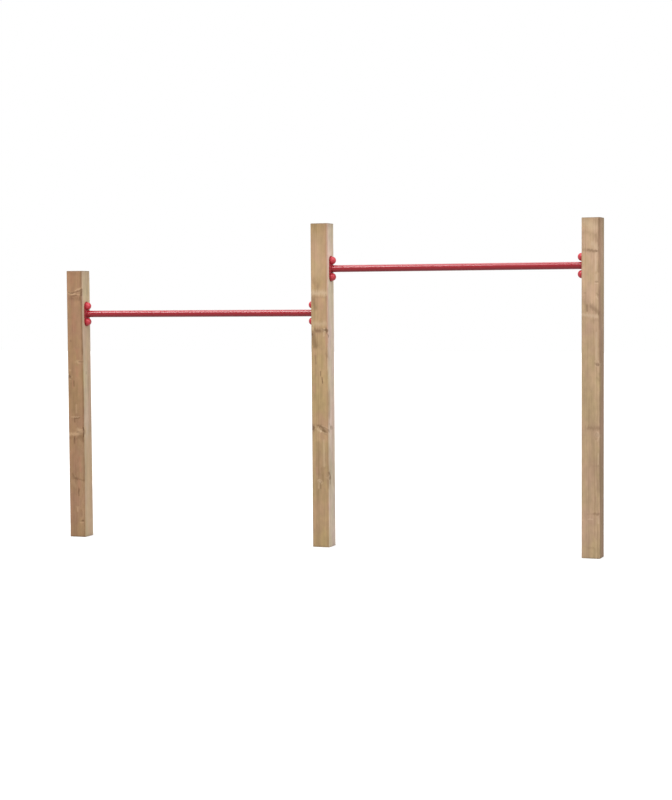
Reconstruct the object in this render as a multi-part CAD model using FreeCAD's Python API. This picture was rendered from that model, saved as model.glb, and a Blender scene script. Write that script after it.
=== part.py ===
import FreeCAD
import Part
import math
import os

from FreeCAD import Placement, Rotation, Vector

# A double tumbling bar: two coated steel bars, one low and one high, between three timber posts.
# Lengths are in millimetres and +Z is up. The origin is the centre of the middle post's foot,
# and +X runs along the bars from the low one to the high one.

# Timber posts
POST_WIDTH = 88.0  # side of the planed square section
POST_ARRIS = 5.0  # radius of the four long edges
POST_END_EASE = 2.0  # chamfer round the sawn ends
POST_ABOVE_BAR = 220.0  # from a bar's axis to the top of the post it ends at

# Bars
BAR_SPAN = 1250.0  # clear distance between two neighbouring posts
LOW_BAR_HEIGHT = 1145.0  # axis above the posts' feet
TUBE_DIAMETER = 33.7
TUBE_WALL = 2.6

# Flanges and the fillet welds that hold the tube on them
FLANGE_THICKNESS = 5.0
FLANGE_MARGIN = 3.5  # steel that shows round each cap
FLANGE_STAGGER = 90.0  # height between the flanges on the middle post's two sides, so that their screws pass
FLANGE_EDGE_ROUND = 1.0
WELD_LEG = 3.5
WELD_CROWN = 0.5  # how far the bead bulges past a flat fillet
WELD_TO_CAP_GAP = 0.65

# Hexagon lag screws
SCREW_DIAMETER = 10.0
SCREW_LENGTH = 70.0  # under the head
SCREW_THREAD_LENGTH = 42.0
SCREW_CORE_DIAMETER = 7.0
SCREW_POINT_LENGTH = 9.0
SCREW_TIP_DIAMETER = 1.0
HEAD_ACROSS_FLATS = 17.0
HEAD_HEIGHT = 7.0
HEAD_CROWN_MARGIN = 0.5  # the chamfer's circle lies this far inside the flats
HEAD_CHAMFER_DEGREES = 30.0
HEAD_SIDES = 6

# Flat washers under the screw heads
WASHER_DIAMETER = 20.0
WASHER_THICKNESS = 2.0

# Two-piece moulded screw caps: a base clamped under the washer and a dome that snaps over its collar
CAP_DIAMETER = 38.0
CAP_WALL = 2.2
CAP_RIM_HEIGHT = 3.5  # straight skirt below the dome
CAP_RISE = 16.0  # dome above the skirt
CAP_EDGE_ROUND = 0.6
BASE_FLOOR = 2.5
COLLAR_HEIGHT = 4.0
COLLAR_WALL = 2.0
SNAP_BEAD = 0.6  # ridge round the collar
SNAP_BEAD_HEIGHT = 2.1  # middle of the ridge above the floor
SNAP_LIP = 0.4  # ridge inside the dome's skirt, held under the bead
SNAP_LIP_HEIGHT = 0.9

# Clearances
HOLE_CLEARANCE = 0.5  # round a screw in the flange
CLOSE_CLEARANCE = 0.25  # round a screw in a washer or a cap base
PILOT_CLEARANCE = 0.1  # round a screw in its drilled hole
SNAP_CLEARANCE = 0.15  # between the bead and the dome's skirt

# Sizes that follow from the ones above
POST_PITCH = BAR_SPAN + POST_WIDTH
SCREW_PITCH = TUBE_DIAMETER + 2 * (WELD_LEG + WELD_TO_CAP_GAP) + CAP_DIAMETER
FLANGE_WIDTH = CAP_DIAMETER + 2 * FLANGE_MARGIN
FLANGE_LENGTH = SCREW_PITCH + FLANGE_WIDTH
HIGH_BAR_HEIGHT = LOW_BAR_HEIGHT + FLANGE_LENGTH + FLANGE_STAGGER
TUBE_LENGTH = BAR_SPAN - 2 * FLANGE_THICKNESS
BASE_SEAT = FLANGE_THICKNESS  # heights above the post's face
DOME_SEAT = BASE_SEAT + BASE_FLOOR
HEAD_SEAT = DOME_SEAT + WASHER_THICKNESS

POSTS = {
    "left_post": (-POST_PITCH, LOW_BAR_HEIGHT + POST_ABOVE_BAR),
    "middle_post": (0.0, HIGH_BAR_HEIGHT + POST_ABOVE_BAR),
    "right_post": (POST_PITCH, HIGH_BAR_HEIGHT + POST_ABOVE_BAR),
}
BARS = {
    "low_bar": ("left_post", "middle_post", LOW_BAR_HEIGHT),
    "high_bar": ("middle_post", "right_post", HIGH_BAR_HEIGHT),
}
AXIS = Vector(0, 0, 1)
ORIGIN = Vector(0, 0, 0)
PARTS_FOLDER = "parts"


# Drawing helpers


def line(start, end):
    """A straight edge between two (radius, height) points."""
    return Part.LineSegment(Vector(start[0], 0, start[1]), Vector(end[0], 0, end[1])).toShape()


def arc(start, middle, end):
    """An arc through three (radius, height) points."""
    points = [Vector(radius, 0, height) for radius, height in (start, middle, end)]
    return Part.Arc(*points).toShape()


def turned(edges):
    """The solid that a closed profile sweeps when it is turned about the local Z axis."""
    face = Part.Face(Part.Wire(edges))
    return face.revolve(ORIGIN, AXIS, 360)


def turned_outline(points):
    """A turned solid whose profile has straight edges only."""
    following = points[1:] + points[:1]
    return turned([line(start, end) for start, end in zip(points, following)])


def ring(outer_radius, inner_radius, height):
    """A flat ring standing on the local XY plane."""
    return turned_outline(
        [(inner_radius, 0), (outer_radius, 0), (outer_radius, height), (inner_radius, height)]
    )


def edges_at_height(shape, height):
    """The edges that lie wholly in the plane at that local height."""
    near = 1e-6
    return [
        edge
        for edge in shape.Edges
        if abs(edge.BoundBox.ZMin - height) < near and abs(edge.BoundBox.ZMax - height) < near
    ]


# Timber


def post_blank(height):
    """A planed square post with rounded long edges and eased ends, before drilling."""
    half = POST_WIDTH / 2
    blank = Part.makeBox(POST_WIDTH, POST_WIDTH, height, Vector(-half, -half, 0))
    long_edges = [edge for edge in blank.Edges if edge.BoundBox.ZLength > height / 2]
    blank = blank.makeFillet(POST_ARRIS, long_edges)
    ends = edges_at_height(blank, 0) + edges_at_height(blank, height)
    return blank.makeChamfer(POST_END_EASE, ends)


# Steel bars, modelled with the post's face as the local XY plane and the bar along local Z


def flange():
    """A plate with round ends, one screw hole at each, and its outer edge rounded."""
    radius = FLANGE_WIDTH / 2
    half_pitch = SCREW_PITCH / 2
    corners = {
        (along, across): Vector(along * half_pitch, across * radius, 0)
        for along in (1, -1)
        for across in (1, -1)
    }
    outline = Part.Wire(
        [
            Part.LineSegment(corners[-1, 1], corners[1, 1]).toShape(),
            Part.Arc(corners[1, 1], Vector(half_pitch + radius, 0, 0), corners[1, -1]).toShape(),
            Part.LineSegment(corners[1, -1], corners[-1, -1]).toShape(),
            Part.Arc(corners[-1, -1], Vector(-half_pitch - radius, 0, 0), corners[-1, 1]).toShape(),
        ]
    )
    plate = Part.Face(outline).extrude(AXIS * FLANGE_THICKNESS)
    plate = plate.makeFillet(FLANGE_EDGE_ROUND, edges_at_height(plate, FLANGE_THICKNESS))
    hole_radius = SCREW_DIAMETER / 2 + HOLE_CLEARANCE
    for along in (1, -1):
        centre = Vector(along * half_pitch, 0, 0)
        plate = plate.cut(Part.makeCylinder(hole_radius, FLANGE_THICKNESS, centre, AXIS))
    return plate


def weld():
    """The bead round the tube's end, in the corner between the tube and its flange."""
    tube_radius = TUBE_DIAMETER / 2
    root = (tube_radius, FLANGE_THICKNESS)
    toe = (tube_radius + WELD_LEG, FLANGE_THICKNESS)
    top = (tube_radius, FLANGE_THICKNESS + WELD_LEG)
    bulge = WELD_LEG / 2 + WELD_CROWN / math.sqrt(2)
    crown = (tube_radius + bulge, FLANGE_THICKNESS + bulge)
    return turned([line(root, toe), arc(toe, crown, top), line(top, root)])


def tube():
    """The bar itself, from one flange to the other."""
    outer = TUBE_DIAMETER / 2
    return ring(outer, outer - TUBE_WALL, TUBE_LENGTH).translated(AXIS * FLANGE_THICKNESS)


# Fasteners, each on its own axis, with the post's face as the local XY plane


def screw_shank(clearance):
    """The part of a lag screw below its head, or the hole for it when a clearance is given."""
    shank_end = HEAD_SEAT - (SCREW_LENGTH - SCREW_THREAD_LENGTH)
    point_start = HEAD_SEAT - SCREW_LENGTH + SCREW_POINT_LENGTH
    tip = HEAD_SEAT - SCREW_LENGTH
    shank_radius = SCREW_DIAMETER / 2 + clearance
    core_radius = SCREW_CORE_DIAMETER / 2 + clearance
    tip_radius = SCREW_TIP_DIAMETER / 2 + clearance
    return turned_outline(
        [
            (0, HEAD_SEAT),
            (shank_radius, HEAD_SEAT),
            (shank_radius, shank_end - clearance),
            (core_radius, shank_end - clearance),
            (core_radius, point_start - clearance),
            (tip_radius, tip - clearance),
            (0, tip - clearance),
        ]
    )


def screw_head():
    """A hexagon head with its top corners chamfered on a cone."""
    corner_radius = HEAD_ACROSS_FLATS / 2 / math.cos(math.pi / HEAD_SIDES)
    corners = []
    for side in range(HEAD_SIDES):
        angle = 2 * math.pi * side / HEAD_SIDES
        across = Vector(math.cos(angle), math.sin(angle), 0) * corner_radius
        corners.append(across + AXIS * HEAD_SEAT)
    hexagon = Part.Face(Part.makePolygon(corners + corners[:1])).extrude(AXIS * HEAD_HEIGHT)
    crown_radius = HEAD_ACROSS_FLATS / 2 - HEAD_CROWN_MARGIN
    drop = (corner_radius - crown_radius) * math.tan(math.radians(HEAD_CHAMFER_DEGREES))
    top = HEAD_SEAT + HEAD_HEIGHT
    crown = turned_outline(
        [
            (0, HEAD_SEAT),
            (corner_radius, HEAD_SEAT),
            (corner_radius, top - drop),
            (crown_radius, top),
            (0, top),
        ]
    )
    return hexagon.common(crown)


def lag_screw():
    """A hexagon head on a plain shank, a thread core and a point."""
    return screw_head().fuse(screw_shank(0)).removeSplitter()


def washer():
    """The flat washer that spreads the screw's load over the cap base."""
    bore_radius = SCREW_DIAMETER / 2 + CLOSE_CLEARANCE
    return ring(WASHER_DIAMETER / 2, bore_radius, WASHER_THICKNESS).translated(AXIS * DOME_SEAT)


def collar_radius():
    """Outside of the collar, so that its bead runs clear of the dome's skirt."""
    return CAP_DIAMETER / 2 - CAP_WALL - SNAP_CLEARANCE - SNAP_BEAD


def cap_base():
    """The lower half of a cap: a floor with a screw hole and a collar with a snap bead."""
    rim = CAP_DIAMETER / 2
    outer = collar_radius()
    bead = SNAP_BEAD_HEIGHT + BASE_FLOOR
    top = COLLAR_HEIGHT + BASE_FLOOR
    base = turned_outline(
        [
            (SCREW_DIAMETER / 2 + CLOSE_CLEARANCE, 0),
            (rim, 0),
            (rim, BASE_FLOOR),
            (outer, BASE_FLOOR),
            (outer, bead - SNAP_BEAD),
            (outer + SNAP_BEAD, bead),
            (outer, bead + SNAP_BEAD),
            (outer, top),
            (outer - COLLAR_WALL, top),
            (outer - COLLAR_WALL, BASE_FLOOR),
            (SCREW_DIAMETER / 2 + CLOSE_CLEARANCE, BASE_FLOOR),
        ]
    )
    rim_edges = [edge for edge in edges_at_height(base, 0) if edge.BoundBox.XMax > rim - CAP_WALL]
    return base.makeFillet(CAP_EDGE_ROUND, rim_edges).translated(AXIS * BASE_SEAT)


def cap_dome():
    """The upper half of a cap: a hollow dome on a skirt, with a lip that snaps under the bead."""
    rim = CAP_DIAMETER / 2
    skirt = rim - CAP_WALL
    apex = CAP_RIM_HEIGHT + CAP_RISE
    sphere = (rim**2 + CAP_RISE**2) / (2 * CAP_RISE)
    centre = apex - sphere
    inner_sphere = sphere - CAP_WALL
    skirt_top = centre + math.sqrt(inner_sphere**2 - skirt**2)

    def on_sphere(radius, at_radius, share):
        """A point on a sphere of that radius, part of the way from at_radius to the apex."""
        angle = math.asin(at_radius / radius) * share
        return (radius * math.sin(angle), centre + radius * math.cos(angle))

    half_way = 0.5
    dome = turned(
        [
            line((skirt, 0), (rim, 0)),
            line((rim, 0), (rim, CAP_RIM_HEIGHT)),
            arc((rim, CAP_RIM_HEIGHT), on_sphere(sphere, rim, half_way), (0, apex)),
            line((0, apex), (0, apex - CAP_WALL)),
            arc((0, apex - CAP_WALL), on_sphere(inner_sphere, skirt, half_way), (skirt, skirt_top)),
            line((skirt, skirt_top), (skirt, SNAP_LIP_HEIGHT + SNAP_LIP)),
            line((skirt, SNAP_LIP_HEIGHT + SNAP_LIP), (skirt - SNAP_LIP, SNAP_LIP_HEIGHT)),
            line((skirt - SNAP_LIP, SNAP_LIP_HEIGHT), (skirt, SNAP_LIP_HEIGHT - SNAP_LIP)),
            line((skirt, SNAP_LIP_HEIGHT - SNAP_LIP), (skirt, 0)),
        ]
    )
    return dome.translated(AXIS * DOME_SEAT)


# Assembly


def bar_end(post, side, height):
    """The placement of a bar end: local Z leaves the post's face, local X points up."""
    face = Vector(POSTS[post][0] + side * POST_WIDTH / 2, 0, height)
    turn = Rotation(Vector(0, 0, 1), Vector(0, -side, 0), Vector(side, 0, 0), "ZXY")
    return Placement(face, turn)


def placed(shape, placement, along=0.0):
    """A copy of a shape at a bar end, moved along the flange."""
    return shape.translated(Vector(along, 0, 0)).transformed(placement.toMatrix())


def build():
    """Every node of the part, by name."""
    nodes = {}
    for name, (x, height) in POSTS.items():
        nodes[name] = post_blank(height).translated(Vector(x, 0, 0))
    fastener_kinds = {
        "screw": lag_screw(),
        "washer": washer(),
        "cap_base": cap_base(),
        "cap": cap_dome(),
    }
    pilot_hole = screw_shank(PILOT_CLEARANCE)
    for bar, (left_post, right_post, height) in BARS.items():
        nodes[f"{bar}_tube"] = placed(tube(), bar_end(left_post, 1, height))
        for end, post, side in (("left", left_post, 1), ("right", right_post, -1)):
            seat = bar_end(post, side, height)
            nodes[f"{bar}_{end}_flange"] = placed(flange(), seat)
            nodes[f"{bar}_{end}_weld"] = placed(weld(), seat)
            for level, along in (("upper", SCREW_PITCH / 2), ("lower", -SCREW_PITCH / 2)):
                nodes[post] = nodes[post].cut(placed(pilot_hole, seat, along))
                for kind, shape in fastener_kinds.items():
                    nodes[f"{bar}_{end}_{level}_{kind}"] = placed(shape, seat, along)
    return nodes


def main():
    os.makedirs(PARTS_FOLDER, exist_ok=True)
    nodes = build()
    for name, shape in nodes.items():
        shape.exportStep(f"{PARTS_FOLDER}/{name}.step")
    print(f"{len(nodes)} nodes written, screw pitch {SCREW_PITCH:.2f}, flange {FLANGE_WIDTH:.1f} wide")


main()
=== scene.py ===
# %% [markdown]
# # A double tumbling bar
#
# Three planed timber posts stand in a row. A low and a high steel bar run between them. Each bar
# ends in a red flange that is screwed to its post, and a domed plastic cap covers every screw.
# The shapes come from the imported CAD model. This lesson gives them the surfaces they have in life.

# %% Load the CAD model
import math
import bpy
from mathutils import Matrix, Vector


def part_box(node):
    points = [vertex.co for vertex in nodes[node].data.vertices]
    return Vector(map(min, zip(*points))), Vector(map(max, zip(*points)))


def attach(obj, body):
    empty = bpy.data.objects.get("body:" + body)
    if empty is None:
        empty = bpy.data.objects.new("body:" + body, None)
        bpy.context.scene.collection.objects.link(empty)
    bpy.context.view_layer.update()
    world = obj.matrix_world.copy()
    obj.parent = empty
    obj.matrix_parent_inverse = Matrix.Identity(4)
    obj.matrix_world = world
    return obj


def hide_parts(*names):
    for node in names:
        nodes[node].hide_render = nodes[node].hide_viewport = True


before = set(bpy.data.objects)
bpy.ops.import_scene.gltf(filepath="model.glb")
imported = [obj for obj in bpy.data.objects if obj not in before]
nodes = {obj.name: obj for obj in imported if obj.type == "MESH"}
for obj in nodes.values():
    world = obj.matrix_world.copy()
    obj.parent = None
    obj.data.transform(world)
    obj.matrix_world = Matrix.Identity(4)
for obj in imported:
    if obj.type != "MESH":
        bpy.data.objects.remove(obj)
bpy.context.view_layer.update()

from types import SimpleNamespace

import bmesh
import bpy
from mathutils import Matrix, Vector, noise

MM = 0.001  # the scene is in metres

# %% [markdown]
# ## Camera
#
# The photo was taken with a long lens from the right, a little below the tops of the posts. The
# edges of the posts and bars give the camera's place and turn. A camera could be aimed with a
# Track To constraint, but a turn built from three angles also holds the slight roll of the hand.

# %% Place the camera
IMAGE_HEIGHT = 800  # the photo's long side, in pixels
FOCAL_PIXELS = 1842.6
SENSOR = 36.0  # millimetres along the long side
CAMERA_PLACE = (3.1718, -8.4326, 1.2237)
TURN, TILT, ROLL = math.radians(20.215), math.radians(-3.208), math.radians(-0.423)
LEVEL = math.radians(90)  # a camera that isn't turned looks straight down

camera = bpy.data.objects.new("camera", bpy.data.cameras.new("camera"))
bpy.context.scene.collection.objects.link(camera)
camera.data.sensor_width = SENSOR
camera.data.lens = FOCAL_PIXELS * SENSOR / IMAGE_HEIGHT
camera.matrix_world = (
    Matrix.Translation(CAMERA_PLACE)
    @ Matrix.Rotation(TURN, 4, "Z")
    @ Matrix.Rotation(LEVEL + TILT, 4, "X")
    @ Matrix.Rotation(ROLL, 4, "Z")
)
bpy.context.scene.camera = camera
print(f"camera with a {camera.data.lens:.1f} mm lens")

# %% [markdown]
# ## Shader arithmetic
#
# A material is a small calculation. Wiring every Math node by hand hides the formula, so a class
# wraps a socket and turns `1 - mask` into a node.


# %% Wrap a socket
class Value:
    """A socket that adds Math nodes when it is used in arithmetic."""

    def __init__(self, wiring, socket):
        self.wiring = wiring
        self.socket = socket

    def __add__(self, other):
        return self.wiring.math("ADD", self, other)

    def __sub__(self, other):
        return self.wiring.math("SUBTRACT", self, other)

    def __rsub__(self, other):
        return self.wiring.math("SUBTRACT", other, self)

    def __mul__(self, other):
        return self.wiring.math("MULTIPLY", self, other)

    def __truediv__(self, other):
        return self.wiring.math("DIVIDE", self, other)

    def __abs__(self):
        return self.wiring.math("ABSOLUTE", self)

    __radd__ = __add__
    __rmul__ = __mul__


print("sockets can be added, subtracted, multiplied and divided")

# %% [markdown]
# A second class wraps a node tree. Its method `node` adds any node and fills its sockets, and the
# others are short names for the Math and Vector Math nodes that the formulas need.


# %% Wrap a node tree
class Wiring:
    """A node tree with short ways to add nodes."""

    def __init__(self, tree):
        self.tree = tree

    def node(self, kind, settings=None, sockets=None, output=0):
        """Adds a node, sets it up, then fills or links its sockets."""
        made = self.tree.nodes.new(kind)
        for name, value in (settings or {}).items():
            setattr(made, name, value)
        for key, value in (sockets or {}).items():
            self.feed(made.inputs[key], value)
        return Value(self, made.outputs[output])

    def feed(self, socket, value):
        """Links a Value to a socket, or sets a constant on it."""
        if isinstance(value, Value):
            self.tree.links.new(value.socket, socket)
        else:
            socket.default_value = value

    def math(self, operation, *values):
        return self.node("ShaderNodeMath", {"operation": operation}, dict(enumerate(values)))

    def vector(self, operation, *values, output=0):
        return self.node("ShaderNodeVectorMath", {"operation": operation}, dict(enumerate(values)), output)

    def dot(self, first, second):
        return self.vector("DOT_PRODUCT", first, second, output="Value")

    def length(self, vector):
        return self.vector("LENGTH", vector, output="Value")


print("node trees can be written as expressions")

# %% [markdown]
# A third class adds what wood, coat and studio are mixed from: colours, eased steps, noise, and the
# Light Path node, which tells how a ray came here. Colours go through Mix and Vector Math nodes,
# because a Math node would turn them grey.


# %% Wrap colours and noise
class Shading(Wiring):
    """A node tree that mixes colours."""

    def shade(self, colour, factor):
        """A colour made darker or lighter."""
        return self.node("ShaderNodeVectorMath", {"operation": "SCALE"}, {0: colour, "Scale": factor})

    def ramp(self, value, low, high, to_low=0.0, to_high=1.0):
        """An eased step from to_low at low to to_high at high."""
        settings = {"interpolation_type": "SMOOTHSTEP"}
        return self.node("ShaderNodeMapRange", settings, dict(enumerate((value, low, high, to_low, to_high))))

    def mix(self, share, first, second):
        """A colour between two."""
        return self.node("ShaderNodeMix", {"data_type": "RGBA"}, {0: share, 6: first, 7: second}, 2)

    def noise(self, place, waves, detail=2.0, rough=0.5, output=0):
        """Soft noise around 0.5, with so many waves for each unit of x, y and z."""
        sockets = {"Vector": self.vector("MULTIPLY", place, waves), "Scale": 1.0}
        return self.node("ShaderNodeTexNoise", {}, sockets | {"Detail": detail, "Roughness": rough}, output)

    def seen_directly(self):
        """1 for rays straight from the camera, 0 for all others."""
        return self.node("ShaderNodeLightPath", output="Is Camera Ray")

    def mirrored(self):
        """1 for rays that a gloss has thrown on, 0 for all others."""
        return self.node("ShaderNodeLightPath", output="Is Glossy Ray")


print("colours can be mixed")

# %% [markdown]
# Every finish starts from a Principled shader and reads Object coordinates. The pieces all sit at the
# origin with their place in the mesh, so these coordinates are the frame's own, and a pattern runs on
# from one piece to the next.


# %% Wrap a material
class Finish(Shading):
    """A material and its Principled shader."""

    def __init__(self, name):
        self.material = bpy.data.materials.new(name)
        self.material.use_nodes = True
        super().__init__(self.material.node_tree)
        self.shader = self.tree.nodes["Principled BSDF"]

    def place(self, centre=(0, 0, 0)):
        """Object coordinates in millimetres from a centre given in metres."""
        raw = self.node("ShaderNodeTexCoord", output="Object")
        moved = self.vector("SUBTRACT", raw, tuple(centre))
        return self.vector("MULTIPLY", moved, (1 / MM, 1 / MM, 1 / MM))

    def bump(self, height, depth_mm):
        """A normal from a height map of that depth."""
        return self.node("ShaderNodeBump", {}, {"Strength": 1.0, "Distance": depth_mm * MM, "Height": height})

    def set(self, **sockets):
        """Fills sockets of the shader; an underscore stands for a space."""
        for name, value in sockets.items():
            self.feed(self.shader.inputs[name.replace("_", " ")], value)


print("finishes can be made")

# %% [markdown]
# A colour is easiest to choose as a screen shows it, from 0 to 255. Blender reckons with the light
# itself, so the screen's curve, the sRGB formula, has to be undone first.


# %% Write colours as a screen shows them
def srgb(red, green, blue):
    """Blender's linear colour for screen values from 0 to 255."""

    def linear(step):
        share = step / 255
        return share / 12.92 if share <= 0.04045 else ((share + 0.055) / 1.055) ** 2.4

    return (linear(red), linear(green), linear(blue), 1.0)


print("mid grey is", round(srgb(128, 128, 128)[0], 3))

# %% [markdown]
# ## Studio
#
# The frame stands on a plain floor with white all round. The floor is a sheet of card. It glows
# white towards the camera, but part of what it shows is still real lighting, so that it keeps the
# posts' shadows. The gloss of the bars sees it glow in the same way. To bounced light it is plain
# grey card, which throws little light up under the bars.

# %% Lay the floor
FLOOR_SIZE = 60.0
FLOOR_GLOW, MIRRORED_GLOW = 0.6, 0.65  # share of plain white in what the camera and the gloss see
WHITE = (1, 1, 1, 1)
CARD_DARK, CARD_LIGHT = srgb(137, 137, 135), srgb(143, 143, 142)

sheet = bmesh.new()
bmesh.ops.create_grid(sheet, x_segments=1, y_segments=1, size=FLOOR_SIZE / 2)
floor = bpy.data.objects.new("floor", bpy.data.meshes.new("floor"))
sheet.to_mesh(floor.data)
sheet.free()
bpy.context.scene.collection.objects.link(floor)

paper = Finish("floor_card")
mottle = paper.noise(paper.place(), (0.02, 0.02, 0.02), detail=3.0)
card = paper.mix(mottle, CARD_DARK, CARD_LIGHT)
paper.set(
    Base_Color=paper.mix(paper.seen_directly(), card, WHITE),
    Roughness=0.9,
    Specular_IOR_Level=0.1,
)
glow = paper.node("ShaderNodeEmission", {}, {"Color": WHITE, "Strength": 1.0})
lit = Value(paper, paper.shader.outputs["BSDF"])
whiteness = paper.seen_directly() * FLOOR_GLOW + paper.mirrored() * MIRRORED_GLOW
shown = paper.node("ShaderNodeMixShader", {}, {0: whiteness, 1: lit, 2: glow})
paper.feed(paper.tree.nodes["Material Output"].inputs["Surface"], shown)
floor.data.materials.append(paper.material)
print("floor of", FLOOR_SIZE, "m laid")

# %% [markdown]
# The world is white to the camera and gives dimmer light to everything else. Area lamps would light
# the wide floor unevenly and leave grey patches, so the softboxes are far away: suns with a wide disc.
# Two stand in front, and a third lights the right faces. The broad one overhead lights the tops and
# backs. Together with the left one it draws the pale line along the bars.

# %% Light the studio
AMBIENT = 0.51

world = bpy.data.worlds.new("studio")
bpy.context.scene.world = world
world.use_nodes = True
sky = Shading(world.node_tree)
dim = sky.node("ShaderNodeBackground", {}, {"Color": WHITE, "Strength": AMBIENT})
white = sky.node("ShaderNodeBackground", {}, {"Color": WHITE, "Strength": 1.0})
either = sky.node("ShaderNodeMixShader", {}, {0: sky.seen_directly(), 1: dim, 2: white})
sky.feed(sky.tree.nodes["World Output"].inputs["Surface"], either)


def far_softbox(name, toward, spread, power):
    """A sun in that direction whose disc spans some degrees."""
    lamp = bpy.data.lights.new(name, "SUN")
    lamp.energy, lamp.angle = power, math.radians(spread)
    light = bpy.data.objects.new(name, lamp)
    bpy.context.scene.collection.objects.link(light)
    light.rotation_euler = Vector(toward).to_track_quat("Z", "Y").to_euler()


far_softbox("left_softbox", toward=(-0.40, -0.54, 0.765), spread=20, power=1.65)
far_softbox("front_softbox", toward=(0.15, -0.61, 0.78), spread=30, power=0.7)
far_softbox("right_softbox", toward=(0.80, -0.24, 0.55), spread=50, power=1.33)
far_softbox("top_softbox", toward=(-0.28, 0.32, 0.90), spread=55, power=1.6)
bpy.context.scene.view_settings.view_transform = "Standard"
print("world and four softboxes set")

# %% [markdown]
# ## Timber
#
# The posts are pressure-treated softwood. Wood grain isn't a picture on the surface: growth rings
# are cones round the pith, and a branch grows out of the pith through them and leaves a knot. So the
# material is solid, and any cut shows the right figure: stripes and arches on the faces, circles on
# the ends. It starts with one branch, a cone whose growing time counts from its own axis.

# %% Describe a branch
STUB = 8.0  # how steeply a branch ends behind the pith


def branch_time(wood, place, pith, taper, tip, radius, rise):
    """Growing time in a branch, in millimetres of stem, and how many of them make one of branch.

    The branch leaves the wood at its tip with that radius, rising by some degrees from the pith."""
    reach = math.hypot(tip[0] - pith[0], tip[1] - pith[1])
    start = Vector((*pith, tip[2] - reach * math.tan(math.radians(rise))))
    along = (Vector(tip) - start).normalized()
    swell = (reach + taper * tip[2]) / radius
    offset = wood.vector("SUBTRACT", place, tuple(start))
    ahead = wood.dot(offset, tuple(along))
    aside = wood.math("SQRT", wood.dot(offset, offset) - ahead * ahead)
    return aside * swell + wood.math("MAXIMUM", ahead * -STUB, 0.0), swell


print("branches described")

# %% [markdown]
# Where a branch's time is smaller than the stem's, the wood there is the branch's own: a knot. The
# rings follow whichever time is smaller, with a soft passage between, so they flow round each knot.
# The depth inside the knot also gives its bark-brown rim and the paler halo outside.

# %% Describe the growth of the wood
FLOW = 14.0  # how widely the rings bend round a knot
KNOT_EDGE = (-0.3, 0.9)  # depths between which a knot sets in, in millimetres
RIM, HALO = 1.7, 3.0  # half-widths of a knot's rim and halo
HALO_PLACE = 3.2  # from the rim to the middle of the halo


def growth(wood, place, pith, taper, branches):
    """Distance from the pith, growing time, and masks for knots, rims and halos.

    A branch is x, y, z, radius and rise, then how dark and how pale its knot is, from 0 to 1."""
    across = wood.vector("SUBTRACT", place, (*pith, 0))
    stem = wood.length(wood.vector("MULTIPLY", across, (1, 1, 0))) + wood.dot(place, (0, 0, taper))
    grown = SimpleNamespace(stem=stem, time=stem, knots=0.0, pales=0.0, rims=0.0, halos=0.0)
    for x, y, z, radius, rise, dark, pale in branches:
        branch, swell = branch_time(wood, place, pith, taper, (x, y, z), radius, rise)
        depth = (stem - branch) / swell
        inside = wood.ramp(depth, *KNOT_EDGE)
        rim = wood.ramp(abs(depth), 0.0, RIM, max(dark, pale / 2), 0.0)
        halo = wood.ramp(abs(depth + HALO_PLACE), 0.0, HALO, 1.0, 0.0)
        grown.knots = wood.math("MAXIMUM", inside * dark, grown.knots)
        grown.pales = wood.math("MAXIMUM", inside * pale, grown.pales)
        grown.rims = wood.math("MAXIMUM", rim, grown.rims)
        grown.halos = wood.math("MAXIMUM", halo, grown.halos)
        grown.time = wood.math("SMOOTH_MIN", grown.time, branch, FLOW)
    return grown


print("stem and knots described")

# %% [markdown]
# A ring fades from pale early wood to brown late wood and stops sharply. A Wave texture would draw
# rings of one width. Here a noise along the growing time makes good and bad years, a second one
# ripples the rings, and a slow third one sways the whole stem, which never grew quite straight.

# %% Draw the rings
SWAY = 12  # how far the stem wanders, in millimetres
GOOD_YEARS, RIPPLED = 2.2, 0.6  # how far the noises shift a ring, in widths of a ring


def sway(wood, place):
    """The place in a stem that wanders to and fro."""
    wander = wood.noise(place, (0.003, 0.003, 0.002), output="Color")
    shift = wood.vector("MULTIPLY_ADD", wander, (SWAY, SWAY, 0), (-SWAY / 2, -SWAY / 2, 0))
    return wood.vector("ADD", place, shift)


def late_wood(wood, place, time, ring):
    """1 in late wood and 0 in early wood, for rings about that wide."""
    years = wood.node("ShaderNodeTexNoise", {"noise_dimensions": "1D"}, {"W": time * 0.06, "Scale": 1.0})
    ripple = wood.noise(place, (0.09, 0.09, 0.012), detail=3.0)
    turns = wood.math("FRACT", time / ring + years * GOOD_YEARS + ripple * RIPPLED)
    return wood.ramp(turns, 0.25, 0.88) * wood.ramp(turns, 0.9, 1.0, 1.0, 0.0)


print("rings described")

# %% [markdown]
# Within the rings run fibres. Each layer of them is a Noise texture with few waves along the post and
# many across, so that it stretches along the grain. The clouds and the drift of the tint are as wide
# as the post and break up large even areas.


# %% Draw fibres and clouds
def grain(wood, place):
    """Noises from single fibres to slow clouds."""
    return SimpleNamespace(
        fibre=wood.noise(place, (0.9, 0.9, 0.012), detail=4.0, rough=0.65),
        canals=wood.noise(place, (1.5, 1.5, 0.06), detail=1.0),
        streak=wood.noise(place, (0.12, 0.12, 0.0018), detail=3.0, rough=0.6),
        figure=wood.noise(place, (0.05, 0.05, 0.03), detail=3.0),
        cloud=wood.noise(place, (0.022, 0.022, 0.004), detail=3.0, rough=0.55),
        tint=wood.noise(place, (0.014, 0.014, 0.007), detail=3.0, rough=0.55),
    )


print("fibres described")

# %% [markdown]
# The heart of a stem is browner than the sapwood outside it, with a dark rind where they meet, so the
# distance from the pith chooses between two pairs of colours. Streaks, fibres and clouds are mixed in
# on top, and the whole drifts between rose and ochre. It also gets paler towards the top of the post
# and darker towards its foot: that is painted light, the top lit more than the foot.

# %% Colour heart and sapwood
ROSE_TINT, OCHRE_TINT = (1.02, 0.97, 1.03, 1), (0.98, 1.02, 0.92, 1)
HEART_WAVER = 4  # how far the edge of the heart wavers, in millimetres


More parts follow.
